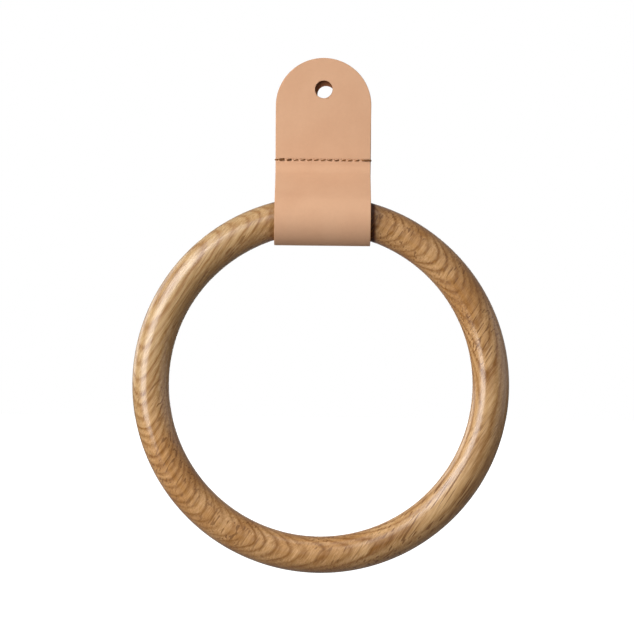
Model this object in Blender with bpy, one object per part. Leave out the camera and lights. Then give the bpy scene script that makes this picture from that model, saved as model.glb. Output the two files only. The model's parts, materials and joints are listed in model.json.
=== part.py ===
"""Wall-hung towel ring: an oak ring hanging in a folded, stitched leather strap.

World frame: +Z up, +X along the strap's width, -Y out of the wall into the room.
The plane y = 0 is the wall. The origin lies on the strap's back face, on its
centre line. "Forward" below is the distance in front of the wall, so forward = -y.
"""

import math

import bmesh
import bpy
import numpy as np

# Driving dimensions, in metres.
RING_OUTSIDE = 0.200  # outside diameter of the ring
RING_TUBE = 0.0196  # diameter of its round section
RING_DROP = 0.1366  # the ring's centre hangs this far below the origin
TUBE_OVER_AXIS = 0.0019  # top of the tube's centre line above the swing axis
STRAP_WIDTH = 0.0508
LEATHER = 0.0023  # thickness of one ply
PLY_GAP = 0.0003  # air between the two plies above the stitching
EDGE_ROUND = 0.0007  # rounding of the leather's cut edges
FRONT_TIP = 0.0375  # tip of the front ply above the origin
BACK_TIP = 0.0349  # tip of the back ply above the origin
BEND_START = -0.0190  # height where the front ply leaves the back ply
BEND_RADIUS = 0.0080  # mid-line radius of that bend
LOOP_INSIDE = 0.01235  # inner radius of the loop around the ring
HOLE_DIAMETER = 0.0093  # screw hole, punched through each ply
HOLE_TO_TIP = 0.0168  # hole centre to the tip of its own ply
BACK_HOLE_SHIFT = 0.0013  # the back ply's hole is punched off centre
STITCH_HEIGHT = -0.0170
STITCH_PITCH = 0.00363
NEEDLE_HOLES = 14
NEEDLE_HOLE = 0.0011  # diameter of each needle hole
THREAD = 0.0008  # diameter of the thread
THREAD_LEG = 0.0007  # and where a needle hole squeezes it
THREAD_GAP = 0.0002  # clearance between thread and leather
FRONT_CREST = 0.00025  # thread centre in front of the front face, mid stitch
FRONT_DIP = 0.00075  # how far it sinks at each needle hole
BACK_CREST = 0.00042  # the same inside the back face, which lies flat on the wall
BACK_DIP = 0.00015
WRAP_RADIUS = 0.0009  # thread centre line where it turns over the strap's side
LOCK_GAP = 0.0003  # gap between the two threads inside a needle hole

# Fineness of the curved surfaces.
RING_STEPS = 96
TUBE_STEPS = 28
CAP_STEPS = 10
BEND_STEPS = 8
LOOP_STEPS = 38
EDGE_STEPS = 3
STRAP_COLUMNS = 3
HOLE_SIDES = 40
NEEDLE_HOLE_SIDES = 12
THREAD_SIDES = 8
STITCH_STEPS = 8
WRAP_STEPS = 5

# Sizes that follow from them.
RING_RADIUS = (RING_OUTSIDE - RING_TUBE) / 2
AXIS_FORWARD = LEATHER + LOOP_INSIDE
AXIS_HEIGHT = RING_RADIUS - RING_DROP - TUBE_OVER_AXIS
TAB_THICKNESS = 2 * LEATHER + PLY_GAP
TAB_MIDDLE = TAB_THICKNESS / 2
FRONT_THREAD = TAB_THICKNESS + FRONT_CREST
OVERCUT = 0.001  # how far a cutter runs past the leather


def clear_scene():
    for obj in list(bpy.data.objects):
        bpy.data.objects.remove(obj, do_unlink=True)


def principled(name, colour, roughness, coat=0.0):
    material = bpy.data.materials.new(name)
    material.use_nodes = True
    shader = material.node_tree.nodes["Principled BSDF"]
    shader.inputs["Base Color"].default_value = (*colour, 1.0)
    shader.inputs["Roughness"].default_value = roughness
    shader.inputs["Coat Weight"].default_value = coat
    material.diffuse_color = (*colour, 1.0)
    return material


def mesh_object(name, vertices, faces, material=None):
    """A smooth-shaded mesh object with every face turned outwards."""
    mesh = bpy.data.meshes.new(name)
    mesh.from_pydata(vertices, [], faces)
    shell = bmesh.new()
    shell.from_mesh(mesh)
    bmesh.ops.recalc_face_normals(shell, faces=shell.faces)
    shell.to_mesh(mesh)
    shell.free()
    mesh.shade_smooth()
    if material:
        mesh.materials.append(material)
    obj = bpy.data.objects.new(name, mesh)
    bpy.context.scene.collection.objects.link(obj)
    return obj


def make_helper(obj):
    """A cutter or filler: seen as a wire frame and never part of the object."""
    obj.hide_render = True
    obj.display_type = "WIRE"
    return obj


def add_boolean(obj, other, operation):
    modifier = obj.modifiers.new(other.name, "BOOLEAN")
    modifier.operation = operation
    modifier.solver = "EXACT"
    modifier.object = other


def oak_ring():
    """Torus built round the swing axis, which is the object's own origin."""
    vertices = []
    faces = []
    for i in range(RING_STEPS):
        turn = 2 * math.pi * i / RING_STEPS
        for j in range(TUBE_STEPS):
            around = 2 * math.pi * j / TUBE_STEPS
            reach = RING_RADIUS + RING_TUBE / 2 * math.cos(around)
            vertices.append(
                (
                    reach * math.sin(turn),
                    RING_TUBE / 2 * math.sin(around),
                    reach * math.cos(turn) - RING_RADIUS + TUBE_OVER_AXIS,
                )
            )
            next_i = (i + 1) % RING_STEPS
            next_j = (j + 1) % TUBE_STEPS
            faces.append(
                (
                    i * TUBE_STEPS + j,
                    next_i * TUBE_STEPS + j,
                    next_i * TUBE_STEPS + next_j,
                    i * TUBE_STEPS + next_j,
                )
            )
    oak = principled("oak", (0.56, 0.36, 0.18), 0.35, 0.4)
    ring = mesh_object("oak_ring", vertices, faces, oak)
    ring.location = (0.0, -AXIS_FORWARD, AXIS_HEIGHT)
    return ring


def fold_pieces():
    """The strap's mid-line in side view, as (length, turn) from front tip to back tip.

    It runs down the tab, bends forward, runs straight to the loop, goes round the
    ring and comes back up flat against the wall.
    """
    bend_forward = TAB_THICKNESS - LEATHER / 2 + BEND_RADIUS
    loop_radius = LOOP_INSIDE + LEATHER / 2
    across = AXIS_FORWARD - bend_forward
    down = BEND_START - AXIS_HEIGHT
    apart = math.hypot(across, down)
    both_radii = BEND_RADIUS + loop_radius
    slope = math.atan2(across, down) + math.asin(both_radii / apart)
    return [
        (FRONT_TIP - BEND_START, 0.0),
        (BEND_RADIUS * slope, slope),
        (math.sqrt(apart**2 - both_radii**2), 0.0),
        (loop_radius * (slope + math.pi), -(slope + math.pi)),
        (BACK_TIP - AXIS_HEIGHT, 0.0),
    ]


def on_fold(pieces, distance, offset):
    """Point (forward, up) at a distance along the mid-line, offset to its outer side."""
    forward = TAB_THICKNESS - LEATHER / 2
    up = FRONT_TIP
    heading = 0.0
    for length, turn in pieces:
        step = min(distance, length)
        if turn:
            bend = turn / length
            after = heading + bend * step
            forward += (math.cos(heading) - math.cos(after)) / bend
            up -= (math.sin(after) - math.sin(heading)) / bend
            heading = after
        else:
            forward += math.sin(heading) * step
            up -= math.cos(heading) * step
        distance -= step
        if distance <= 0:
            break
    return (
        forward + offset * math.cos(heading),
        up + offset * math.sin(heading),
    )


def edge_levels():
    """(inset, offset) pairs round the strap's edge, from outer face to inner face."""
    corner = LEATHER / 2 - EDGE_ROUND
    outer = []
    for step in range(EDGE_STEPS + 1):
        angle = math.pi / 2 * step / EDGE_STEPS
        inset = EDGE_ROUND * (1 - math.sin(angle))
        outer.append((inset, corner + EDGE_ROUND * math.cos(angle)))
    inner = [(inset, -offset) for inset, offset in reversed(outer)]
    return outer + inner


def strap_rows(pieces, inset):
    """(distance, half width) of each cross row at one inset, front tip to back tip."""
    reach = STRAP_WIDTH / 2 - inset
    total = sum(length for length, _ in pieces)
    cap = []
    for step in range(CAP_STEPS + 1):
        angle = math.pi / 2 * step / CAP_STEPS
        cap.append((STRAP_WIDTH / 2 - reach * math.cos(angle), reach * math.sin(angle)))
    rows = list(cap)
    start = pieces[0][0]
    for (length, _), steps in zip(pieces[1:4], (BEND_STEPS, 1, LOOP_STEPS)):
        rows += [(start + length * step / steps, reach) for step in range(steps)]
        start += length
    rows.append((start, reach))
    rows += [(total - distance, width) for distance, width in reversed(cap)]
    return rows


def strap_body(material):
    """The folded strip of leather, before any hole is cut."""
    pieces = fold_pieces()
    levels = edge_levels()
    vertices = []
    index = {}

    def vertex(key, x, distance, offset):
        if key not in index:
            forward, up = on_fold(pieces, distance, offset)
            index[key] = len(vertices)
            vertices.append((x, -forward, up))
        return index[key]

    all_rows = [strap_rows(pieces, inset) for inset, _ in levels]
    last_row = len(all_rows[0]) - 1
    last_level = len(levels) - 1

    def corner(row, level, column):
        """Vertex number; columns run from 0 on the left to STRAP_COLUMNS on the right."""
        distance, half = all_rows[level][row]
        if row in (0, last_row):
            return vertex((row, level), 0.0, distance, levels[level][1])
        x = half * (2 * column / STRAP_COLUMNS - 1)
        return vertex((row, level, column), x, distance, levels[level][1])

    loop = [(0, column) for column in range(STRAP_COLUMNS + 1)]
    loop += [(level, STRAP_COLUMNS) for level in range(1, last_level + 1)]
    loop += [(last_level, column) for column in range(STRAP_COLUMNS - 1, -1, -1)]
    loop += [(level, 0) for level in range(last_level - 1, 0, -1)]
    faces = []
    for row in range(last_row):
        for here, there in zip(loop, loop[1:] + loop[:1]):
            face = [
                corner(row, *here),
                corner(row + 1, *here),
                corner(row + 1, *there),
                corner(row, *there),
            ]
            distinct = list(dict.fromkeys(face))
            if len(distinct) > 2:
                faces.append(distinct)
    return mesh_object("leather_strap", vertices, faces, material)


def cylinder_parts(centre, radius, start, end, sides):
    """Vertices and faces of a closed cylinder along y, from forward start to end."""
    x, height = centre
    vertices = []
    for forward in (start, end):
        for side in range(sides):
            angle = 2 * math.pi * side / sides
            vertices.append(
                (
                    x + radius * math.cos(angle),
                    -forward,
                    height + radius * math.sin(angle),
                )
            )
    faces = [tuple(range(sides)), tuple(range(2 * sides - 1, sides - 1, -1))]
    for side in range(sides):
        after = (side + 1) % sides
        faces.append((after, side, sides + side, sides + after))
    return vertices, faces


def joined(parts):
    """One vertex list and face list out of several."""
    vertices = []
    faces = []
    for part_vertices, part_faces in parts:
        first = len(vertices)
        vertices += part_vertices
        faces += [tuple(first + number for number in face) for face in part_faces]
    return vertices, faces


def tube_parts(path, radius):
    """Vertices and faces of a closed round tube along (x, forward) points."""
    points = np.array(path)
    ahead = np.gradient(points, axis=0)
    ahead /= np.linalg.norm(ahead, axis=1)[:, None]
    vertices = []
    for (x, forward), (along_x, along_forward) in zip(points, ahead):
        for side in range(THREAD_SIDES):
            angle = 2 * math.pi * side / THREAD_SIDES
            out = radius * math.cos(angle)
            vertices.append(
                (
                    x + out * along_forward,
                    -(forward - out * along_x),
                    STITCH_HEIGHT + radius * math.sin(angle),
                )
            )
    faces = []
    for ring in range(len(path) - 1):
        for side in range(THREAD_SIDES):
            after = (side + 1) % THREAD_SIDES
            faces.append(
                (
                    ring * THREAD_SIDES + side,
                    ring * THREAD_SIDES + after,
                    (ring + 1) * THREAD_SIDES + after,
                    (ring + 1) * THREAD_SIDES + side,
                )
            )
    last = (len(path) - 1) * THREAD_SIDES
    faces.append(tuple(range(THREAD_SIDES - 1, -1, -1)))
    faces.append(tuple(range(last, last + THREAD_SIDES)))
    return vertices, faces


def needle_hole_places():
    middle = (NEEDLE_HOLES - 1) / 2
    return [(number - middle) * STITCH_PITCH for number in range(NEEDLE_HOLES)]


def stitch_wave(crest, dip, inward):
    """(x, forward) points of the row of stitches: crests mid stitch, dips at the holes.

    inward is -1 for the front thread and +1 for the back one.
    """
    first = needle_hole_places()[0]
    beyond = STITCH_STEPS // 4
    wave = []
    for step in range(-beyond, (NEEDLE_HOLES - 1) * STITCH_STEPS + beyond + 1):
        stitches = step / STITCH_STEPS
        fall = dip * (1 + math.cos(2 * math.pi * stitches)) / 2
        wave.append((first + stitches * STITCH_PITCH, crest + inward * fall))
    return wave


def thread_path(crest, dip, inward):
    """The row of stitches with both ends turned over the strap's side edges."""
    side = STRAP_WIDTH / 2 + THREAD_GAP + THREAD / 2
    wrap = [(side, TAB_MIDDLE - inward * LOCK_GAP / 2)]
    for step in range(WRAP_STEPS + 1):
        angle = math.pi / 2 * step / WRAP_STEPS
        wrap.append(
            (
                side - WRAP_RADIUS * (1 - math.cos(angle)),
                crest + inward * WRAP_RADIUS * (1 - math.sin(angle)),
            )
        )
    left = [(-x, forward) for x, forward in wrap]
    return left + stitch_wave(crest, dip, inward) + wrap[::-1]


def thread(name, crest, dip, inward, material):
    """One thread: the stitches on its side, and a leg down each needle hole."""
    row = mesh_object(
        name, *tube_parts(thread_path(crest, dip, inward), THREAD / 2), material
    )
    ends = sorted((crest + inward * dip, TAB_MIDDLE - inward * LOCK_GAP / 2))
    legs = [
        cylinder_parts((x, STITCH_HEIGHT), THREAD_LEG / 2, *ends, THREAD_SIDES)
        for x in needle_hole_places()
    ]
    filler = make_helper(mesh_object(name + "_legs", *joined(legs)))
    add_boolean(row, filler, "UNION")


def screw_hole_cutter():
    """One hole per ply, each punched before folding, so they line up only roughly."""
    front = cylinder_parts(
        (0.0, FRONT_TIP - HOLE_TO_TIP),
        HOLE_DIAMETER / 2,
        TAB_MIDDLE,
        TAB_THICKNESS + OVERCUT,
        HOLE_SIDES,
    )
    back = cylinder_parts(
        (BACK_HOLE_SHIFT, BACK_TIP - HOLE_TO_TIP),
        HOLE_DIAMETER / 2,
        -OVERCUT,
        TAB_MIDDLE,
        HOLE_SIDES,
    )
    return make_helper(mesh_object("screw_holes", *joined([front, back])))


def needle_hole_cutter():
    holes = [
        cylinder_parts(
            (x, STITCH_HEIGHT),
            NEEDLE_HOLE / 2,
            -OVERCUT,
            TAB_THICKNESS + OVERCUT,
            NEEDLE_HOLE_SIDES,
        )
        for x in needle_hole_places()
    ]
    return make_helper(mesh_object("needle_holes", *joined(holes)))


def thread_bed_cutter(name, crest, dip, inward):
    """The furrow that the tightened thread presses into the leather."""
    end = STRAP_WIDTH / 2 + OVERCUT
    path = [(-end, crest)] + stitch_wave(crest, dip, inward) + [(end, crest)]
    return make_helper(mesh_object(name, *tube_parts(path, THREAD / 2 + THREAD_GAP)))


def leather_strap():
    leather = principled("vegetable_tanned_leather", (0.69, 0.41, 0.25), 0.5)
    strap = strap_body(leather)
    add_boolean(strap, screw_hole_cutter(), "DIFFERENCE")
    add_boolean(strap, needle_hole_cutter(), "DIFFERENCE")
    front = thread_bed_cutter("front_thread_bed", FRONT_THREAD, FRONT_DIP, -1)
    add_boolean(strap, front, "DIFFERENCE")
    back = thread_bed_cutter("back_thread_bed", BACK_CREST, BACK_DIP, 1)
    add_boolean(strap, back, "DIFFERENCE")


def needle_thread():
    brown = principled("needle_thread", (0.20, 0.10, 0.04), 0.6)
    thread("needle_thread", FRONT_THREAD, FRONT_DIP, -1, brown)


def bobbin_thread():
    brown = principled("bobbin_thread", (0.20, 0.10, 0.04), 0.6)
    thread("bobbin_thread", BACK_CREST, BACK_DIP, 1, brown)


clear_scene()
oak_ring()
leather_strap()
needle_thread()
bobbin_thread()
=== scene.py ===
"""The look of the towel ring: turned oak, vegetable-tanned leather, waxed thread.

The frame is the CAD part's: +Z up, +X along the strap's width, -Y out of the wall, in
metres. "Forward" is the distance in front of the wall. Names that end in _MM, and the
sizes of grain, fibres and pores in the materials, are in millimetres.
"""

import json
import math

import bmesh
import bpy
import numpy as np
from mathutils import Matrix, Vector

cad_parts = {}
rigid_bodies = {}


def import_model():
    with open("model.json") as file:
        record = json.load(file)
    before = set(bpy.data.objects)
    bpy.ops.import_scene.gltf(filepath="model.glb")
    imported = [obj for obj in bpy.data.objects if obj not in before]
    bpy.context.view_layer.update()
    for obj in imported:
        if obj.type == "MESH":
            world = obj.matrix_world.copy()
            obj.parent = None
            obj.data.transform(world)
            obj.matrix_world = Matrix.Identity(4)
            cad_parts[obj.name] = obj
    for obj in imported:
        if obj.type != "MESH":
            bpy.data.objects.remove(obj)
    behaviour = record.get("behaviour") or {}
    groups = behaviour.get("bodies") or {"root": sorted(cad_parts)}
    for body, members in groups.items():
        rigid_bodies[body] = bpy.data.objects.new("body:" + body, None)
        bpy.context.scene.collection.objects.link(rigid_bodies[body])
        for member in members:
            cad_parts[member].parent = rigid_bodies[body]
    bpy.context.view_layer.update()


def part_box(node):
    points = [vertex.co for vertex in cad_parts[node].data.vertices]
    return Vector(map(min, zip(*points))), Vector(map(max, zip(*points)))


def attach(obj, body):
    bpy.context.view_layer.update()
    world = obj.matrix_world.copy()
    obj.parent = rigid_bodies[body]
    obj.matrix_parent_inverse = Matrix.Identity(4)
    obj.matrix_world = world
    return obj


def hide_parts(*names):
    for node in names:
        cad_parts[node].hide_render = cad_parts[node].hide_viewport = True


MM = 0.001

# The strap's fold, the same as in the CAD part. Heights are z.
LEATHER = 2.3 * MM  # thickness
PLY_GAP = 0.3 * MM
FRONT_TIP = 37.5 * MM
BACK_TIP = 34.9 * MM
BEND_START = -19.0 * MM
BEND_RADIUS = 8.0 * MM
LOOP_INSIDE = 12.35 * MM
HOLE_RADIUS = 4.65 * MM
HOLE_TO_TIP = 16.8 * MM
BACK_HOLE_SHIFT = 1.3 * MM
STITCH_HEIGHT = -17.0 * MM
STITCH_PITCH = 3.63 * MM
NEEDLE_HOLES = 14
TAB = 2 * LEATHER + PLY_GAP

# The ring.
TUBE_OVER_AXIS = 1.9 * MM  # the tube's centre over the loop's axis, at the ring's top
RING_STEPS = 720
TUBE_STEPS = 96
RING_TILES = 3  # the ring's bake map is cut into this many tiles each way
TILE_FILL = 0.97  # how much of its tile each length of tube fills

# How the ring was cut from the board.
GRAIN_ANGLE = math.radians(57)  # fibre direction in the ring's plane, from +X
LAYER_TILT = math.radians(29)  # growth layers against the ring's plane
YEAR_MM = 2.6  # width of one year's growth
PITH_MM = 230.0  # distance from the ring's centre to the middle of the tree
# Where the wood turns paler towards the board's edges, sideways from the ring's centre. At the
# upper-left edge this is partly paler wood and partly a painted highlight, with fainter early
# wood.
SAPWOOD_AND_HIGHLIGHT_MM = (-36.0, -76.0)
OUTER_WOOD_MM = (45.0, 80.0)
# How the layers wave, as length, width and amount in millimetres.
LAYER_WAVES = ((90.0, 40.0, 4.5), (10.0, 3.6, 0.9), (5.0, 0.55, 0.5))
# How dark the wood is through one year, as (share of the year, darkness).
SEASONS = (
    (0.0, 0.55),
    (0.14, 0.16),
    (0.34, 0.0),
    (0.5, 0.08),
    (0.66, 0.42),
    (0.82, 0.9),
    (0.91, 1.0),
    (1.0, 0.55),
)

# Oak colours as 0 to 255 screen values; all of them are darkened by WOOD_TONE.
WOOD_TONE = 0.63
PALE_WOOD = (246, 191, 128)
BROWN_WOOD = (214, 153, 84)
# paler wood at the upper left, partly a painted highlight
SAPWOOD_AND_HIGHLIGHT = (226, 190, 137)
OUTER_WOOD = (250, 208, 150)
EARLY_WOOD = (163, 102, 26)
OPEN_PORE = (140, 88, 34)
SHADE_POWERS = (1.0, 1.4, 2.2)  # wood turns redder as it turns darker

# The painted shadow on the wood beside the strap, in place of the strap's contact shadow.
STRAP_SIDE_MM = 26.9  # darkest up to here from the strap's middle
STRAP_SHADOW_END_MM = 28.8
LEFT_STRAP_SHADOW = 0.72  # how light the darkest wood is, 1 being unshaded
RIGHT_STRAP_SHADOW = 0.16
STRAP_SHADOW_FLOOR_MM = (-90.0, -80.0)  # no shade below these heights

# Leather colours as 0 to 255 screen values; all of them are darkened by LEATHER_TONE.
LEATHER_TONE = 0.888
GRAIN_SIDE = ((221, 174, 139), (217, 169, 134))
HAIR_PORE = (170, 118, 82)
FLESH_SIDE = ((196, 152, 116), (222, 184, 150))
RAW_EDGE = ((176, 124, 88), (206, 156, 116))
# The hole walls: raw leather darkened with painted shade.
HOLE_WALL_AND_SHADE = ((108, 62, 38), (154, 100, 66))

# Thread colours as 0 to 255 screen values.
WAXED_THREAD = ((106, 64, 20), (150, 98, 42))

# Fineness of the strap.
CAP_ROWS = 26
ROW_STEP = 1.1 * MM
STITCH_ROW_STEP = 0.17 * MM
STITCH_BAND = 3.0 * MM
OUTER_COLUMNS = 224
INNER_COLUMNS = 56
EDGE_ROUND = 0.35 * MM
EDGE_STEPS = 5
LAST_LEVEL = 2 * EDGE_STEPS + 1  # levels run round the edge, from outer to inner face

# How uneven the strap is.
FACE_WAVES = 0.05 * MM
OUTLINE_WAVES = 0.10 * MM

# The punched holes.
PUNCH_SIDES = 96
# The punch's rings, as shares of the way from the ply's middle to its faces.
PUNCH_RINGS = (-1.6, -1.0, -0.85, -0.6, 0.6, 0.85, 1.0, 1.6)
FLARE_START = 0.6  # the share at which the punch begins to widen
RIM_FLARE = 0.09 * MM  # how much wider it is at the faces
WIDEST_FLARE = 2.2 * RIM_FLARE

# The thread.
THREAD_RADIUS = 0.34 * MM
THREAD_ENTRY = 0.82 * MM  # how far from its needle hole a stitch comes out
THREAD_DEPTH = 0.7 * MM  # how far each end goes into the leather
FRONT_CREST = 0.14 * MM  # the thread's height over the leather
BACK_CREST = -0.42 * MM  # it lies in a furrow on the back
STITCH_SLANT = 0.30 * MM  # how far each stitch's ends stand off the row's line
DOUBLED = 2  # the row's first stitches are sewn twice
DOUBLED_SHIFTS = (0.22 * MM, -0.24 * MM)
FIRST_LEAD = 0.8 * MM  # the first stitch starts this far before its hole
LEFT_WRAP_START = -0.5 * MM  # from the first needle hole
RIGHT_WRAP_START = 0.85 * MM  # from the last needle hole but one
RIGHT_WRAP_SHIFTS = (0.14 * MM, -0.17 * MM)
WRAP_CLIMB = 0.2 * MM  # how soon the wrapped stitches come up out of their hole
WRAP_CORNER = 0.85 * MM
WRAP_OUT = 0.10 * MM  # the thread's middle outside the strap's side
STRANDS = 3
STRAND_SIDES = 10
STRAND_RADIUS = 0.54 * THREAD_RADIUS
STRAND_ORBIT = 0.50 * THREAD_RADIUS
TWIST_PITCH = 2.0 * MM

# The camera.
LENS = 200.0
SENSOR = 36.0
FRAME_WIDTH = 0.3364  # what the camera's view spans at the ring
LEAN = math.radians(0.6)
EYE = (-0.00236, -0.10075)  # where the line of sight meets the ring's plane, x and z

# The floor and the light.
FLOOR_REACH = 12.0
FLOOR_HEIGHT = -0.50
FLOOR_SEEN = 0.9  # its grey to the camera
FLOOR_LIT = 0.28  # its grey to everything else
SKY_STRENGTH = 0.3
LIGHT_TARGET = (0.0, -0.015, -0.11)
# Name, azimuth and elevation in degrees, distance, width and height in metres, watts.
SOFTBOXES = (
    ("key", -46, 12, 1.1, 0.56, 1.05, 9.7),
    ("key_left", -64, 12, 1.1, 0.4, 0.9, 2.1),
    ("key_high", -68, 38, 1.1, 0.5, 0.5, 1.9),
    ("front_high", -20, 30, 1.3, 0.6, 0.6, 2.3),
    ("front_fill", 5, 5, 1.8, 0.8, 0.8, 0.75),
    ("overhead", 0, 72, 1.3, 0.9, 0.6, 1.7),
    ("right_high", 30, 35, 1.3, 0.7, 0.7, 0.5),
    ("right_fill", 66, -8, 1.3, 0.7, 0.9, 1.0),
    ("right_bounce", 95, 5, 1.3, 0.8, 0.8, 1.3),
    ("left_rim", -125, 15, 1.4, 0.8, 0.8, 3.0),
    ("back_fill", 180, 0, 1.6, 0.8, 0.8, 4.0),
)
WHITE = (1.0, 1.0, 1.0, 1.0)

rng = np.random.default_rng(11)  # fixed, so that every run sews the same stitches


def add_to_scene(obj):
    bpy.context.scene.collection.objects.link(obj)


def face_outwards(mesh):
    edit = bmesh.new()
    edit.from_mesh(mesh)
    bmesh.ops.recalc_face_normals(edit, faces=edit.faces)
    edit.to_mesh(mesh)
    edit.free()


def mesh_object(name, vertices, faces, material):
    mesh = bpy.data.meshes.new(name)
    mesh.from_pydata(vertices, [], faces)
    mesh.validate()
    face_outwards(mesh)
    mesh.shade_smooth()
    mesh.materials.append(material)
    obj = bpy.data.objects.new(name, mesh)
    add_to_scene(obj)
    return obj


def stand_in(obj, body, node):
    """The piece takes a CAD node's place."""
    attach(obj, body)
    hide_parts(node)


# ---------------------------------------------------------------- node helpers


class Tree:
    """Short ways to add nodes to one material."""

    def __init__(self, name):
        self.material = bpy.data.materials.new(name)
        self.material.use_nodes = True
        self.nodes = self.material.node_tree.nodes
        self.links = self.material.node_tree.links
        self.shader = self.nodes["Principled BSDF"]

    def put(self, socket, value):
        if isinstance(value, bpy.types.NodeSocket):
            self.links.new(value, socket)
        else:
            socket.default_value = value

    def node(self, kind, inputs=None, **settings):
        made = self.nodes.new("ShaderNode" + kind)
        for key, value in settings.items():
            setattr(made, key, value)
        for key, value in (inputs or {}).items():
            self.put(made.inputs[key], value)
        return made

    def math(self, operation, *values, clamp=False):
        inputs = dict(enumerate(values))
        return self.node("Math", inputs, operation=operation, use_clamp=clamp).outputs[0]

    def vector(self, operation, a, b):
        made = self.node("VectorMath", {0: a, 1: b}, operation=operation)
        return made.outputs["Value" if operation == "DOT_PRODUCT" else "Vector"]

    def position(self, centre=(0.0, 0.0, 0.0)):
        """Place on the object in millimetres from a centre."""
        place = self.node("TexCoord").outputs["Object"]
        moved = self.vector("SUBTRACT", place, centre)
        return self.vector("MULTIPLY", moved, (1 / MM,) * 3)

    def attribute(self, name):
        return self.node("Attribute", attribute_name=name).outputs["Fac"]

    def noise(self, vector, scale=1.0, detail=2.0, roughness=0.5):
        inputs = {"Vector": vector, "Scale": scale, "Detail": detail, "Roughness": roughness}
        return self.node("TexNoise", inputs).outputs["Fac"]

    def cells(self, vector, scale, feature):
        """Distance from the nearest of many scattered points."""
        inputs = {"Vector": vector, "Scale": scale, "Randomness": 1.0}
        return self.node("TexVoronoi", inputs, feature=feature).outputs["Distance"]

    def range(self, value, low, high, out_low=0.0, out_high=1.0, smooth=True):
        made = self.node("MapRange", clamp=True)
        if smooth:
            made.interpolation_type = "SMOOTHSTEP"
        for number, given in enumerate((value, low, high, out_low, out_high)):
            self.put(made.inputs[number], given)
        return made.outputs["Result"]

    def ramp(self, value, stops):
        made = self.node("ValToRGB", {"Fac": value})
        elements = made.color_ramp.elements
        while len(elements) < len(stops):
            elements.new(0.5)
        for element, (place, grey) in zip(elements, stops):
            element.position = place
            element.color = (grey, grey, grey, 1.0)
        return made.outputs["Color"]

    def grey(self, value):
        return self.node("CombineColor", {0: value, 1: value, 2: value}).outputs[0]

    def mix(self, factor, a, b, blend="MIX"):
        inputs = {0: factor, 6: a, 7: b}
        return self.node("Mix", inputs, data_type="RGBA", blend_type=blend).outputs[2]

    def multiply(self, colour, shade):
        return self.mix(1.0, colour, shade, "MULTIPLY")

    def clouded(self, noise, a, b):
        """Colour a where the noise is low and b where it is high."""
        return self.mix(self.range(noise, 0.3, 0.7), a, b)

    def bump(self, height, distance, strength):
        inputs = {"Height": height, "Distance": distance, "Strength": strength}
        return self.node("Bump", inputs).outputs["Normal"]

    def finish(self, **inputs):
        for key, value in inputs.items():
            self.put(self.shader.inputs[key.replace("_", " ")], value)
        return self.material


def from_screen(colour, tone=1.0):
    """A colour given as 0 to 255 screen values, as the linear numbers nodes use."""
    linear = []
    for value in colour:
        part = value / 255
        linear.append(part / 12.92 if part <= 0.04045 else ((part + 0.055) / 1.055) ** 2.4)
    return (*(value * tone for value in linear), 1.0)


def wood(colour):
    return from_screen(colour, WOOD_TONE)


def hide(colour):
    return from_screen(colour, LEATHER_TONE)


# ------------------------------------------------------------------------- oak


class Board:
    """Places in the oak board, in millimetres from the ring's centre: along the fibres,
    sideways within a growth layer, and out through the layers."""

    def __init__(self, tree, centre):
        place = tree.position(centre)
        across_angle = GRAIN_ANGLE - math.pi / 2
        across = Vector((math.cos(across_angle), 0.0, math.sin(across_angle)))
        towards_wall = Vector((0.0, 1.0, 0.0))
        tilt_sin, tilt_cos = math.sin(LAYER_TILT), math.cos(LAYER_TILT)
        fibre = (math.cos(GRAIN_ANGLE), 0.0, math.sin(GRAIN_ANGLE))
        layer = -tilt_sin * across - tilt_cos * towards_wall
        within = tilt_cos * across - tilt_sin * towards_wall
        self.tree = tree
        normal = tree.node("TexCoord").outputs["Normal"]
        facing = tree.vector("DOT_PRODUCT", normal, tuple(layer))
        self.flat_sawn = tree.math("ABSOLUTE", facing)
        self.along = tree.vector("DOT_PRODUCT", place, fibre)
        self.out = tree.vector("DOT_PRODUCT", place, tuple(layer))
        self.side = tree.vector("DOT_PRODUCT", place, tuple(within))

    def cells(self, length, width):
        """The place, scaled so that one noise cell is as long and wide as given."""
        tree = self.tree
        shares = [tree.math("DIVIDE", self.along, length)]
        shares += [tree.math("DIVIDE", value, width) for value in (self.side, self.out)]
        return tree.node("CombineXYZ", dict(enumerate(shares))).outputs[0]

    def noise(self, length, width, detail=2.0, roughness=0.5):
        return self.tree.noise(self.cells(length, width), detail=detail, roughness=roughness)

    def uneven(self, length, width, amount):
        """Noise about zero, in millimetres."""
        centred = self.tree.math("SUBTRACT", self.noise(length, width), 0.5)
        return self.tree.math("MULTIPLY", centred, amount)


def growth_years(board):
    """The count of years at each place; its fraction is the season."""
    tree = board.tree
    from_pith = tree.math("ADD", board.out, PITH_MM)
    squares = [tree.math("POWER", value, 2.0) for value in (from_pith, board.side)]
    radius = tree.math("SQRT", tree.math("ADD", *squares))
    for length, width, amount in LAYER_WAVES:
        radius = tree.math("ADD", radius, board.uneven(length, width, amount))
    years = tree.math("DIVIDE", radius, YEAR_MM)
    # Some years grow wider than others.
    slow = tree.node("CombineXYZ", {0: tree.math("MULTIPLY", years, 0.45)}).outputs[0]
    return tree.math("ADD", years, tree.math("MULTIPLY", tree.noise(slow, detail=1.0), 1.1))


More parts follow.
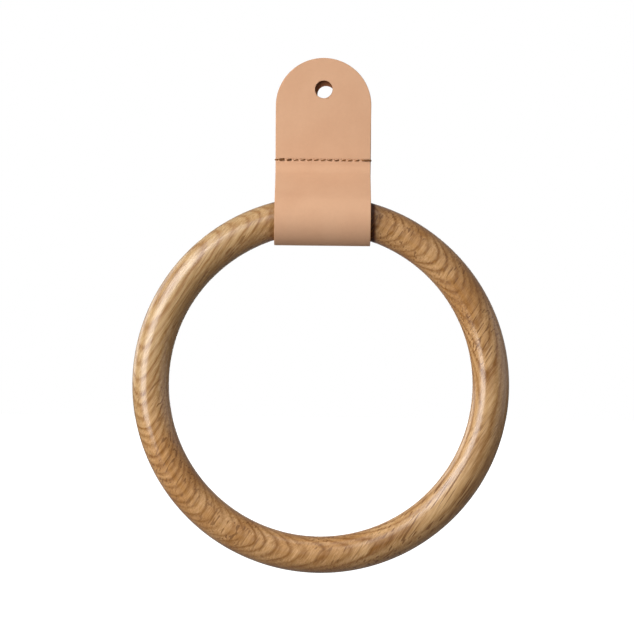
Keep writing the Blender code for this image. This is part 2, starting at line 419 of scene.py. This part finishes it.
def early_wood(board, years):
    """How much of the dark, open early wood is at each place, 0 to 1."""
    tree = board.tree
    early = tree.ramp(tree.math("FRACT", years), SEASONS)
    year = tree.node("CombineXYZ", {0: tree.math("FLOOR", years)}).outputs[0]
    strength = tree.range(tree.noise(year, scale=3.7, detail=0.0), 0.3, 0.7, 0.55, 1.0)
    broken = tree.range(board.noise(10.0, 2.4), 0.25, 0.6, 0.55, 1.05)
    edge_on = tree.range(board.flat_sawn, 0.25, 0.8, 0.4, 1.0)
    for factor in (strength, broken, edge_on):
        early = tree.math("MULTIPLY", early, factor)
    return early


def wood_shade(tree, value):
    """A shade to multiply wood with."""
    channels = [tree.math("POWER", value, power) for power in SHADE_POWERS]
    return tree.node("CombineColor", dict(enumerate(channels))).outputs[0]


def plain_oak(board, early, sapwood_and_highlight):
    """The wood's colour without fibres and pores."""
    tree = board.tree
    broad = board.noise(60.0, 14.0, detail=3.0)
    colour = tree.clouded(broad, wood(PALE_WOOD), wood(BROWN_WOOD))
    colour = tree.mix(tree.math("MULTIPLY", sapwood_and_highlight, 0.75), colour, wood(SAPWOOD_AND_HIGHLIGHT))
    outer = tree.range(board.side, *OUTER_WOOD_MM, 0.0, 0.45)
    colour = tree.mix(outer, colour, wood(OUTER_WOOD))
    colour = tree.mix(tree.math("MULTIPLY", early, 0.95), colour, wood(EARLY_WOOD))
    # Wood shows darker where the layers are cut edge-on, which is mostly the tube's sides seen
    # from the front: partly the grain's own look, partly painted shade on the ring's rims.
    grain_and_rim_shade = tree.range(board.flat_sawn, 0.15, 0.85, 0.76, 1.08)
    return tree.multiply(colour, wood_shade(tree, grain_and_rim_shade))


def painted_strap_shadow(tree):
    """The painted shadow beside the strap, as how light the wood is: darkest on the right, 1
    away from it.
    """
    x, _, z = tree.node("SeparateXYZ", {0: tree.position()}).outputs
    darkest = tree.range(x, -20.0, 20.0, LEFT_STRAP_SHADOW, RIGHT_STRAP_SHADOW)
    beside = tree.range(tree.math("ABSOLUTE", x), STRAP_SIDE_MM, STRAP_SHADOW_END_MM, darkest, 1.0)
    far_below = tree.range(z, *STRAP_SHADOW_FLOOR_MM, 1.0, 0.0)
    return tree.math("MAXIMUM", beside, far_below)


def oak_pores(board, early):
    """Short pores crowd the early wood, long ones cross everything in patches."""
    tree = board.tree
    short = tree.range(board.noise(9.0, 0.34, detail=1.0), 0.56, 0.70)
    short = tree.math("MULTIPLY", short, tree.range(early, 0.05, 0.7, 0.12, 0.7))
    patches = tree.range(board.noise(46.0, 20.0, detail=1.0), 0.4, 0.62, 0.25, 1.0)
    long_lines = tree.range(board.noise(26.0, 1.05, detail=0.0), 0.635, 0.69)
    long_lines = tree.math("MULTIPLY", long_lines, patches)
    return tree.math("MAXIMUM", short, long_lines)


def oak_material(centre):
    tree = Tree("oak_satin")
    board = Board(tree, centre)
    early = early_wood(board, growth_years(board))
    # Towards the upper left the wood is paler and its early wood fainter: partly the wood's own
    # paler edge, partly a painted highlight.
    sapwood_and_highlight = tree.range(board.side, *SAPWOOD_AND_HIGHLIGHT_MM)
    early = tree.math("MULTIPLY", early, tree.range(sapwood_and_highlight, 0.5, 1.0, 1.0, 0.72))
    colour = plain_oak(board, early, sapwood_and_highlight)
    # Painted shadow: the wood beside the strap is darkened, most on the right, where the strap
    # shades it.
    strap_shadow = painted_strap_shadow(tree)
    colour = tree.multiply(colour, wood_shade(tree, strap_shadow))

    # Fibres run along the grain, fine ones on top of broad ones.
    fibres = board.noise(8.0, 0.3, detail=3.0, roughness=0.6)
    streaks = board.noise(18.0, 0.9, detail=3.0, roughness=0.6)
    for source, low, high in ((fibres, 0.25, 0.75), (streaks, 0.28, 0.72)):
        shade = tree.range(source, low, high, 0.76, 1.15, smooth=False)
        colour = tree.multiply(colour, wood_shade(tree, shade))
    pores = oak_pores(board, early)
    colour = tree.mix(tree.math("MULTIPLY", pores, 0.8), colour, wood(OPEN_PORE))

    height = tree.math("SUBTRACT", tree.math("MULTIPLY", fibres, 0.25), pores)
    rough = tree.math("ADD", 0.4, tree.math("MULTIPLY", pores, 0.2))
    rough = tree.math("ADD", rough, tree.math("MULTIPLY", early, 0.06))
    return tree.finish(
        Base_Color=colour,
        Roughness=rough,
        Normal=tree.bump(height, 0.03 * MM, 0.35),
        Specular_IOR_Level=0.12,
        # The coat is weakened in the painted shadow beside the strap, so that the wood reflects
        # less there.
        Coat_Weight=tree.range(strap_shadow, 0.16, 0.9, 0.15, 1.0),
        Coat_IOR=1.6,
        Coat_Roughness=0.22,
    )


# ---------------------------------------------------------- leather and thread


def leather_pores(tree, place):
    """Hair pores, crowded in some places and missing in others."""
    pores = tree.range(tree.cells(place, 2.1, "F1"), 0.06, 0.2, 1.0, 0.0)
    crowded = tree.range(tree.noise(place, scale=0.12), 0.45, 0.62)
    return tree.math("MULTIPLY", pores, crowded)


def grain_side(tree, place, mottle, pores):
    """The colour of the leather's smooth outer side."""
    clouds = tree.noise(place, scale=0.055, detail=3.0)
    colour = tree.clouded(clouds, *map(hide, GRAIN_SIDE))
    shade = tree.range(mottle, 0.25, 0.75, 0.975, 1.02, smooth=False)
    colour = tree.multiply(colour, tree.grey(shade))
    return tree.mix(tree.math("MULTIPLY", pores, 0.2), colour, hide(HAIR_PORE))


def leather_height(tree, place, pores, nap, rough_side):
    """Fine wrinkles and pores, and a deep nap on the rough sides."""
    wrinkles = tree.cells(place, 1.5, "SMOOTH_F1")
    fine = tree.noise(place, scale=3.0, detail=3.0)
    halves = [tree.math("MULTIPLY", part, 0.5) for part in (wrinkles, fine)]
    height = tree.math("ADD", *halves)
    height = tree.math("SUBTRACT", height, tree.math("MULTIPLY", pores, 0.6))
    rough_nap = tree.math("MULTIPLY", nap, rough_side)
    return tree.math("ADD", height, tree.math("MULTIPLY", rough_nap, 3.0))


def leather_material():
    tree = Tree("vegetable_tanned_leather")
    place = tree.position()
    raw = tree.attribute("raw")
    flesh = tree.attribute("flesh")
    mottle = tree.noise(place, scale=0.6, detail=4.0, roughness=0.65)
    pores = leather_pores(tree, place)
    nap = tree.noise(place, scale=1.6, detail=5.0, roughness=0.75)
    fibre = tree.noise(place, scale=3.4, detail=4.0, roughness=0.7)

    colour = grain_side(tree, place, mottle, pores)
    colour = tree.mix(flesh, colour, tree.clouded(nap, *map(hide, FLESH_SIDE)))
    colour = tree.mix(raw, colour, tree.clouded(fibre, *map(hide, RAW_EDGE)))
    # Hole walls: raw leather darkened with painted shade, as is the back ply where the front
    # hole shows it.
    bore_and_shade = tree.attribute("bore_and_shade")
    colour = tree.mix(bore_and_shade, colour, tree.clouded(fibre, *map(hide, HOLE_WALL_AND_SHADE)))

    rough_side = tree.math("MAXIMUM", raw, flesh)
    height = leather_height(tree, place, pores, nap, rough_side)
    rough = tree.math("ADD", 0.6, tree.math("MULTIPLY", mottle, 0.1))
    rough = tree.math("ADD", rough, tree.math("MULTIPLY", rough_side, 0.35), clamp=True)
    return tree.finish(
        Base_Color=colour,
        Roughness=rough,
        Normal=tree.bump(height, 0.06 * MM, 0.45),
        Specular_IOR_Level=0.12,
    )


def thread_material(name):
    tree = Tree(name)
    place = tree.position()
    length = tree.noise(place, scale=0.5)
    fuzz = tree.noise(place, scale=9.0, detail=3.0, roughness=0.7)
    colour = tree.mix(tree.range(length, 0.35, 0.65), *map(from_screen, WAXED_THREAD))
    shade = tree.range(fuzz, 0.2, 0.8, 0.75, 1.2, smooth=False)
    return tree.finish(
        Base_Color=tree.multiply(colour, tree.grey(shade)),
        Roughness=tree.range(fuzz, 0.2, 0.8, 0.45, 0.65),
        Normal=tree.bump(fuzz, 0.04 * MM, 0.6),
    )


# ------------------------------------------------------------------------ ring


def ring_points(centre, middle, tube):
    """The ring's vertices: middle is the radius of its centre line, tube its section's."""
    turn = np.arange(RING_STEPS) * 2 * math.pi / RING_STEPS
    around = np.arange(TUBE_STEPS) * 2 * math.pi / TUBE_STEPS
    turn, around = np.meshgrid(turn, around, indexing="ij")
    # A hand-sanded section is never perfectly round.
    oval = 0.0030 * np.sin(2 * around + 0.7 * np.sin(turn))
    slow = 0.0022 * np.sin(3 * turn + 1.3)
    ripple = 0.0015 * np.sin(7 * turn + 2 * around)
    section = tube * (1 + oval + slow + ripple)
    reach = middle + section * np.cos(around)
    x = centre.x + reach * np.sin(turn)
    y = centre.y + section * np.sin(around)
    z = centre.z + reach * np.cos(turn)
    return np.stack([x, y, z], axis=-1).reshape(-1, 3)


def oak_ring():
    low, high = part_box("oak_ring")
    centre = (low + high) / 2
    tube = (high.y - low.y) / 2
    points = ring_points(centre, (high.x - low.x) / 2 - tube, tube)
    first = np.arange(RING_STEPS)[:, None] * TUBE_STEPS + np.arange(TUBE_STEPS)[None, :]
    after_turn = np.roll(first, -1, axis=0)
    after_around = np.roll(first, -1, axis=1)
    after_both = np.roll(after_turn, -1, axis=1)
    quads = np.stack([first, after_around, after_both, after_turn], axis=-1).reshape(-1, 4)
    obj = mesh_object("turned_oak_ring", points.tolist(), quads.tolist(), oak_material(centre))
    bake_tiles(obj)
    stand_in(obj, "ring", "oak_ring")


def bake_tiles(obj):
    """A bake map for the ring: short lengths of tube side by side, with even texels."""
    per_tile = RING_STEPS // RING_TILES**2
    turn = np.repeat(np.arange(RING_STEPS), TUBE_STEPS)
    around = np.tile(np.arange(TUBE_STEPS), RING_STEPS)
    corner_turn = np.stack([turn, turn, turn + 1, turn + 1], axis=-1)
    corner_around = np.stack([around, around + 1, around + 1, around], axis=-1)
    tile = (turn // per_tile)[:, None]
    along = (corner_turn - tile * per_tile) / per_tile
    over = corner_around / TUBE_STEPS
    u = (tile % RING_TILES + 0.5 + (along - 0.5) * TILE_FILL) / RING_TILES
    v = (tile // RING_TILES + 0.5 + (over - 0.5) * TILE_FILL) / RING_TILES
    layer = obj.data.uv_layers.new(name="OFBake")
    layer.data.foreach_set("uv", np.stack([u, v], axis=-1).astype(np.float32).ravel())


# ----------------------------------------------------------------------- strap


def fold_pieces(axis_height):
    """The strap's mid-line in side view, as (length, turn) from front tip to back tip."""
    axis_forward = LEATHER + LOOP_INSIDE
    loop_radius = LOOP_INSIDE + LEATHER / 2
    across = axis_forward - (TAB - LEATHER / 2 + BEND_RADIUS)
    down = BEND_START - axis_height
    apart = math.hypot(across, down)
    both_radii = BEND_RADIUS + loop_radius
    slope = math.atan2(across, down) + math.asin(both_radii / apart)
    return [
        (FRONT_TIP - BEND_START, 0.0),
        (BEND_RADIUS * slope, slope),
        (math.sqrt(apart**2 - both_radii**2), 0.0),
        (loop_radius * (slope + math.pi), -(slope + math.pi)),
        (BACK_TIP - axis_height, 0.0),
    ]


class Fold:
    """The folded strap. Distances run along its mid-line from front tip to back tip."""

    def __init__(self):
        low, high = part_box("leather_strap")
        self.half_width = (high.x - low.x) / 2
        low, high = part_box("oak_ring")
        tube = (high.y - low.y) / 2
        self.pieces = fold_pieces(high.z - tube - TUBE_OVER_AXIS)
        self.total = sum(length for length, _ in self.pieces)
        self.front_stitch = FRONT_TIP - STITCH_HEIGHT
        self.back_stitch = self.total - (BACK_TIP - STITCH_HEIGHT)

    def place(self, distance, offset):
        """(forward, up) at distances, offset from the mid-line to the strap's outer side."""
        forward = np.full_like(distance, TAB - LEATHER / 2)
        up = np.full_like(distance, FRONT_TIP)
        heading = np.zeros_like(distance)
        left = distance.copy()
        for length, turn in self.pieces:
            step = np.clip(left, 0.0, length)
            if turn:
                bend = turn / length
                after = heading + bend * step
                forward += (np.cos(heading) - np.cos(after)) / bend
                up -= (np.sin(after) - np.sin(heading)) / bend
                heading = after
            else:
                forward += np.sin(heading) * step
                up -= np.cos(heading) * step
            left = left - step
        return forward + offset * np.cos(heading), up + offset * np.sin(heading)


def waves(x, distance):
    """Slow unevenness of the hide, about -1 to 1."""
    return (
        np.sin(x / MM / 9.0 + distance / MM / 17.0)
        + np.sin(distance / MM / 11.0 - x / MM / 23.0 + 1.1)
        + 0.6 * np.sin(x / MM / 5.1 - distance / MM / 7.3 + 0.4)
    ) / 2.6


def dent(away, width):
    """A smooth dent of depth 1 at 0, as wide as given."""
    return np.exp(-((away / width) ** 2))


def nearest_needle_hole(x):
    """The x of the needle hole nearest to each x."""
    shift = (NEEDLE_HOLES - 1) / 2 % 1
    return (np.round(x / STITCH_PITCH - shift) + shift) * STITCH_PITCH


def stitch_relief(x, height, on_back):
    """How deep the thread pulls the leather in, in metres."""
    furrow = np.where(on_back, 0.75, 0.12) * MM * dent(height, 0.62 * MM)
    pull = 0.13 * MM * dent(height, 1.8 * MM)
    lip = -0.06 * MM * dent(np.abs(height) - 1.2 * MM, 0.5 * MM)
    inside = np.abs(x) < (NEEDLE_HOLES / 2) * STITCH_PITCH
    from_hole = x - nearest_needle_hole(x)
    dimples = 0.0
    for side in (-1, 1):
        away = np.hypot(from_hole - side * THREAD_ENTRY, height + side * STITCH_SLANT)
        dimples = dimples + 0.36 * MM * dent(away, 0.3 * MM) * inside
    return furrow + pull + lip + dimples


def strap_distances(fold):
    """Row distances in the strap's straight-sided part, close together at the stitches."""
    last = fold.total - fold.half_width
    places = [fold.half_width]
    while places[-1] < last - ROW_STEP * 0.4:
        here = places[-1]
        near = min(abs(here - fold.front_stitch), abs(here - fold.back_stitch))
        step = STITCH_ROW_STEP if near < STITCH_BAND else ROW_STEP
        places.append(min(here + step, last))
    places[-1] = last
    return places


def strap_rows(fold, inset):
    """(distance, half width) of each cross row at one inset from the outline."""
    reach = fold.half_width - inset
    angles = np.linspace(0, math.pi / 2, CAP_ROWS)
    cap = [(fold.half_width - reach * math.cos(a), reach * math.sin(a)) for a in angles]
    rows = cap[:-1]
    rows += [(distance, reach) for distance in strap_distances(fold)]
    rows += [(fold.total - distance, width) for distance, width in reversed(cap[:-1])]
    return np.array(rows)


def edge_levels():
    """(inset, offset) pairs round the strap's edge, from outer face to inner face."""
    corner = LEATHER / 2 - EDGE_ROUND
    outer = []
    for step in range(EDGE_STEPS + 1):
        angle = math.pi / 2 * step / EDGE_STEPS
        outer.append((EDGE_ROUND * (1 - math.sin(angle)), corner + EDGE_ROUND * math.cos(angle)))
    return outer + [(inset, -offset) for inset, offset in reversed(outer)]


class StrapBuilder:
    """Collects the strap's vertices as flat points (x, distance, offset, level)."""

    def __init__(self, fold):
        self.levels = edge_levels()
        self.rows = [strap_rows(fold, inset) for inset, _ in self.levels]
        self.last_row = len(self.rows[0]) - 1
        self.keys = {}
        self.flat = []

    def vertex(self, row, level, share):
        """share runs from -1 at the left edge to 1 at the right."""
        if row in (0, self.last_row):
            share = 0.0
        key = (row, level, round(share, 6))
        if key not in self.keys:
            distance, half = self.rows[level][row]
            offset = self.levels[level][1]
            self.keys[key] = len(self.flat)
            self.flat.append((share * half, distance, offset, level))
        return self.keys[key]

    def loop(self):
        """One cross section's (level, share) places, all the way round."""
        outer = [(0, 2 * c / OUTER_COLUMNS - 1) for c in range(OUTER_COLUMNS + 1)]
        right = [(level, 1.0) for level in range(1, LAST_LEVEL + 1)]
        inner = [(LAST_LEVEL, 1 - 2 * c / INNER_COLUMNS) for c in range(1, INNER_COLUMNS + 1)]
        left = [(level, -1.0) for level in range(LAST_LEVEL - 1, 0, -1)]
        return outer + right + inner + left

    def faces(self):
        loop = self.loop()
        made = []
        for row in range(self.last_row):
            for here, there in zip(loop, loop[1:] + loop[:1]):
                face = [
                    self.vertex(row, *here),
                    self.vertex(row + 1, *here),
                    self.vertex(row + 1, *there),
                    self.vertex(row, *there),
                ]
                distinct = list(dict.fromkeys(face))
                if len(distinct) > 2:
                    made.append(distinct)
        return made


def place_strap(flat, fold):
    """World places of the strap's flat points."""
    x, distance, offset, _ = flat.T
    outer = np.clip(offset / (LEATHER / 2), 0, 1) ** 2
    front = distance - fold.front_stitch
    back = distance - fold.back_stitch
    nearest = np.where(np.abs(front) < np.abs(back), front, back)
    on_back = np.abs(back) < np.abs(front)
    offset = offset - stitch_relief(x, nearest, on_back) * outer
    offset = offset + FACE_WAVES * waves(x, distance)
    widening = OUTLINE_WAVES * np.sin(distance / MM / 13.0 + 0.6 * np.sign(x))
    x = x + x / fold.half_width * widening
    forward, up = fold.place(distance, offset)
    return np.stack([x, -forward, up], axis=-1)


def hole_cutter(name, centre, start, end):
    """A punch with slightly flared ends, so that the hole's rims come out rounded."""
    middle = (start + end) / 2
    half = (end - start) / 2
    vertices = []
    for share in PUNCH_RINGS:
        forward = middle + half * share
        out = RIM_FLARE * max(0.0, (abs(share) - FLARE_START) / (1 - FLARE_START)) ** 2
        radius = HOLE_RADIUS + min(out, WIDEST_FLARE)
        for side in range(PUNCH_SIDES):
            angle = 2 * math.pi * (side + 0.37) / PUNCH_SIDES
            wobble = 1 + 0.006 * math.sin(3 * angle + 0.5) + 0.003 * math.sin(8 * angle)
            x = centre[0] + radius * wobble * math.cos(angle)
            z = centre[1] + radius * wobble * math.sin(angle)
            vertices.append((x, -forward, z))
    faces = [tuple(range(PUNCH_SIDES))]
    for ring in range(len(PUNCH_RINGS) - 1):
        for side in range(PUNCH_SIDES):
            after = (side + 1) % PUNCH_SIDES
            a, b = ring * PUNCH_SIDES, (ring + 1) * PUNCH_SIDES
            faces.append((a + after, a + side, b + side, b + after))
    faces.append(tuple(range(len(vertices) - 1, len(vertices) - PUNCH_SIDES - 1, -1)))
    cutter = bpy.data.objects.new(name, bpy.data.meshes.new(name))
    cutter.data.from_pydata(vertices, [], faces)
    face_outwards(cutter.data)
    add_to_scene(cutter)
    return cutter


def cut(obj, cutter):
    modifier = obj.modifiers.new("cut", "BOOLEAN")
    modifier.operation = "DIFFERENCE"
    modifier.solver = "EXACT"
    modifier.object = cutter
    graph = bpy.context.evaluated_depsgraph_get()
    mesh = bpy.data.meshes.new_from_object(obj.evaluated_get(graph))
    obj.modifiers.clear()
    old = obj.data
    obj.data = mesh
    bpy.data.meshes.remove(old)
    bpy.data.objects.remove(cutter)


def mark_sides(obj, level):
    """Marks what the leather material reads: raw is full at the middle of the cut edge
    and fades at its corners, flesh grows from there to the inner side."""
    middle = LAST_LEVEL / 2
    raw = np.clip(1.15 - np.abs(level - middle) / (middle - 0.6), 0, 1)
    flesh = np.clip((level - middle) / middle, 0, 1) ** 2
    for name, values in (("raw", raw), ("flesh", flesh), ("bore_and_shade", np.zeros(len(level)))):
        layer = obj.data.attributes.new(name, "FLOAT", "POINT")
        layer.data.foreach_set("value", values.astype(np.float32))


def mark_holes(obj, centres, plies):
    """Marks the walls of the punched holes with the bore attribute, which gives them raw leather
    darkened with painted shade.
    """
    mesh = obj.data
    places = np.empty(len(mesh.vertices) * 3)
    mesh.vertices.foreach_get("co", places)
    x, y, z = places.reshape(-1, 3).T
    forward = -y
    slack = 0.2 * MM
    bore_and_shade = np.zeros(len(x))
    for (hole_x, hole_z), (start, end) in zip(centres, plies):
        away = np.hypot(x - hole_x, z - hole_z)
        in_ply = (forward > start - slack) & (forward < end + slack)
        wall = np.clip((HOLE_RADIUS + 0.13 * MM - away) / (0.1 * MM), 0, 1)
        bore_and_shade = np.maximum(bore_and_shade, wall * in_ply)
    # Painted shade: the back ply's face is as dark where the front hole shows it.
    away = np.hypot(x - centres[0][0], z - centres[0][1])
    on_face = np.abs(forward - LEATHER) < 0.4 * MM
    shown = np.clip((HOLE_RADIUS + 1.2 * MM - away) / (1.0 * MM), 0, 1)
    bore_and_shade = np.maximum(bore_and_shade, shown * on_face)
    mesh.attributes["bore_and_shade"].data.foreach_set("value", bore_and_shade.astype(np.float32))


def leather_strap(fold):
    builder = StrapBuilder(fold)
    faces = builder.faces()
    flat = np.array(builder.flat)
    points = place_strap(flat, fold)
    obj = mesh_object("leather_strap_skin", points.tolist(), faces, leather_material())
    mark_sides(obj, flat[:, 3])
    front_hole = (0.0, FRONT_TIP - HOLE_TO_TIP)
    back_hole = (BACK_HOLE_SHIFT, BACK_TIP - HOLE_TO_TIP)
    front_ply = (LEATHER + PLY_GAP, TAB)
    back_ply = (0.0, LEATHER)
    cut(obj, hole_cutter("front_punch", front_hole, *front_ply))
    cut(obj, hole_cutter("back_punch", back_hole, *back_ply))
    mark_holes(obj, (front_hole, back_hole), (front_ply, back_ply))
    obj.data.set_sharp_from_angle(angle=math.radians(50))
    stand_in(obj, "strap", "leather_strap")


# ---------------------------------------------------------------------- thread


class Face:
    """One face of the tab, as the thread needs it: how far forward it lies, which way
    the leather is (+1 forward, -1 back) and how high the thread runs over it."""

    def __init__(self, forward, inward, crest):
        self.forward = forward
        self.inward = inward
        self.crest = crest

    def y(self, rise):
        """World y of a height over the face."""
        return -(self.forward - self.inward * rise)


def add_strand(centre, side, other, vertices, faces):
    """Adds one closed tube to the lists; side and other span its section."""
    first = len(vertices)
    for k in range(len(centre)):
        for s in range(STRAND_SIDES):
            a = 2 * math.pi * s / STRAND_SIDES
            spoke = math.cos(a) * side[k] + math.sin(a) * other[k]
            vertices.append(tuple(centre[k] + STRAND_RADIUS * spoke))
    for k in range(len(centre) - 1):
        for s in range(STRAND_SIDES):
            n = (s + 1) % STRAND_SIDES
            a, b = first + k * STRAND_SIDES, first + (k + 1) * STRAND_SIDES
            faces.append((a + s, b + s, b + n, a + n))
    end = first + (len(centre) - 1) * STRAND_SIDES
    faces.append(tuple(range(first, first + STRAND_SIDES)))
    faces.append(tuple(range(end + STRAND_SIDES - 1, end - 1, -1)))


def add_thread(path, phase, vertices, faces):
    """Adds the strands, twisted round a path of points, to the lists."""
    path = np.array(path)
    tangent = np.gradient(path, axis=0)
    tangent /= np.linalg.norm(tangent, axis=1)[:, None]
    side = np.cross(tangent, np.array([0.0, 0.0, 1.0]))
    side /= np.linalg.norm(side, axis=1)[:, None]
    other = np.cross(side, tangent)
    length = np.concatenate([[0], np.cumsum(np.linalg.norm(np.diff(path, axis=0), axis=1))])
    for strand in range(STRANDS):
        angle = phase + 2 * math.pi * (strand / STRANDS + length / TWIST_PITCH)
        out = np.cos(angle)[:, None] * side + np.sin(angle)[:, None] * other
        add_strand(path + STRAND_ORBIT * out, side, other, vertices, faces)


def stitch_points(start, end, face, shift=0.0):
    """One stitch: steeply up out of the leather, flat over it, and down again."""
    angle = np.linspace(-math.pi / 2, math.pi / 2, 36)
    reach = (end - start) / 2 - THREAD_ENTRY + 0.1 * MM
    over = reach * np.sin(angle)
    rise = face.crest - (face.crest + THREAD_DEPTH) * np.sin(angle) ** 6
    x = (start + end) / 2 + rng.normal(0, 0.05 * MM) + over
    z = STITCH_HEIGHT + shift + rng.normal(0, 0.07 * MM) + STITCH_SLANT * over / reach
    return np.stack([x, face.y(rise), z], axis=-1)


def wrap_points(start, side, face, shift=0.0):
    """The row's last stitch: out of its hole, over the strap's side edge and round it."""
    crest = face.crest
    start, edge, sign = abs(start), abs(side), math.copysign(1.0, side)
    run = edge + WRAP_OUT - WRAP_CORNER - start
    along = run * np.linspace(0, 1, 24) ** 2
    x = list(start + along)
    rise = list(crest - (crest + THREAD_DEPTH) * np.exp(-along / WRAP_CLIMB))
    for turn in np.linspace(0, math.pi / 2, 14)[1:]:
        x.append(start + run + WRAP_CORNER * math.sin(turn))
        rise.append(crest - WRAP_CORNER * (1 - math.cos(turn)))
    for share in (0.25, 0.5, 0.75, 1.0):
        x.append(x[-1])
        rise.append(crest - WRAP_CORNER - share * (TAB / 2 - WRAP_CORNER + crest))
    z = np.full(len(x), STITCH_HEIGHT + shift)
    return np.stack([sign * np.array(x), face.y(np.array(rise)), z], axis=-1)


def stitches(name, node, face, half_width):
    """The row of stitches on one face."""
    holes = [(n - (NEEDLE_HOLES - 1) / 2) * STITCH_PITCH for n in range(NEEDLE_HOLES)]
    paths = []
    for number, (start, end) in enumerate(zip(holes, holes[1:])):
        if number < DOUBLED:
            lead = FIRST_LEAD if number == 0 else 0.0
            for part, shift in zip((1.0, 0.5), DOUBLED_SHIFTS):
                paths.append(stitch_points(start - lead * part, end, face, shift))
        elif number < len(holes) - 2:
            paths.append(stitch_points(start, end, face))
    paths.append(wrap_points(holes[0] + LEFT_WRAP_START, -half_width, face))
    for shift in RIGHT_WRAP_SHIFTS:
        paths.append(wrap_points(holes[-2] + RIGHT_WRAP_START, half_width, face, shift))
    vertices = []
    faces = []
    for path in paths:
        add_thread(path, rng.uniform(0, 6.28), vertices, faces)
    obj = mesh_object(name, vertices, faces, thread_material(name + "_waxed"))
    stand_in(obj, "strap", node)


# ----------------------------------------------------------------------- stage


def stage_material():
    """White to the camera, and greyer to the light that the floor reflects."""
    tree = Tree("stage_white")
    seen = tree.node("LightPath").outputs["Is Camera Ray"]
    greys = [(grey, grey, grey, 1.0) for grey in (FLOOR_LIT, FLOOR_SEEN)]
    return tree.finish(
        Base_Color=tree.mix(seen, *greys),
        Roughness=0.9,
        Emission_Color=WHITE,
        Emission_Strength=seen,
    )


def stage_floor():
    mesh = bpy.data.meshes.new("stage_floor")
    signs = ((-1, -1), (1, -1), (1, 1), (-1, 1))
    corners = [(x * FLOOR_REACH, y * FLOOR_REACH, FLOOR_HEIGHT) for x, y in signs]
    mesh.from_pydata(corners, [], [(0, 1, 2, 3)])
    mesh.materials.append(stage_material())
    floor = bpy.data.objects.new("stage_floor", mesh)
    add_to_scene(floor)


def softbox(name, azimuth, elevation, distance, width, height, power):
    """An area light facing the ring; azimuth 0 is the camera's side, positive to its right."""
    a, e = math.radians(azimuth), math.radians(elevation)
    out = Vector((math.sin(a) * math.cos(e), -math.cos(a) * math.cos(e), math.sin(e)))
    data = bpy.data.lights.new(name, "AREA")
    data.shape = "RECTANGLE"
    data.size = width
    data.size_y = height
    data.energy = power
    lamp = bpy.data.objects.new(name, data)
    lamp.location = Vector(LIGHT_TARGET) + out * distance
    lamp.rotation_mode = "QUATERNION"
    lamp.rotation_quaternion = out.to_track_quat("Z", "Y")
    add_to_scene(lamp)


def sky():
    """A white background to the camera, and a soft light from all round."""
    world = bpy.data.worlds.new("stage_world")
    bpy.context.scene.world = world
    world.use_nodes = True
    tree = world.node_tree
    back = tree.nodes["Background"]
    back.inputs["Color"].default_value = WHITE
    seen = tree.nodes.new("ShaderNodeLightPath")
    strength = tree.nodes.new("ShaderNodeMapRange")
    strength.inputs["To Min"].default_value = SKY_STRENGTH
    tree.links.new(seen.outputs["Is Camera Ray"], strength.inputs["Value"])
    tree.links.new(strength.outputs["Result"], back.inputs["Strength"])


def camera():
    data = bpy.data.cameras.new("camera")
    data.lens = LENS
    data.sensor_width = SENSOR
    obj = bpy.data.objects.new("camera", data)
    add_to_scene(obj)
    away = LENS / SENSOR * FRAME_WIDTH
    right = Vector((math.cos(LEAN), 0.0, math.sin(LEAN)))
    up = Vector((-math.sin(LEAN), 0.0, math.cos(LEAN)))
    back = Vector((0.0, -1.0, 0.0))
    turn = Matrix((right, up, back)).transposed()
    place = Vector((EYE[0], -(LEATHER + LOOP_INSIDE) - away, EYE[1]))
    obj.matrix_world = Matrix.Translation(place) @ turn.to_4x4()
    bpy.context.scene.camera = obj


def main():
    for old in list(bpy.data.objects):
        bpy.data.objects.remove(old)
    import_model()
    fold = Fold()
    oak_ring()
    leather_strap(fold)
    front = Face(TAB, -1, FRONT_CREST)
    back = Face(0.0, 1, BACK_CREST)
    stitches("front_stitches", "needle_thread", front, fold.half_width)
    stitches("back_stitches", "bobbin_thread", back, fold.half_width)
    stage_floor()
    for lamp in SOFTBOXES:
        softbox(*lamp)
    sky()
    camera()
    bpy.context.scene.view_settings.view_transform = "Standard"


main()
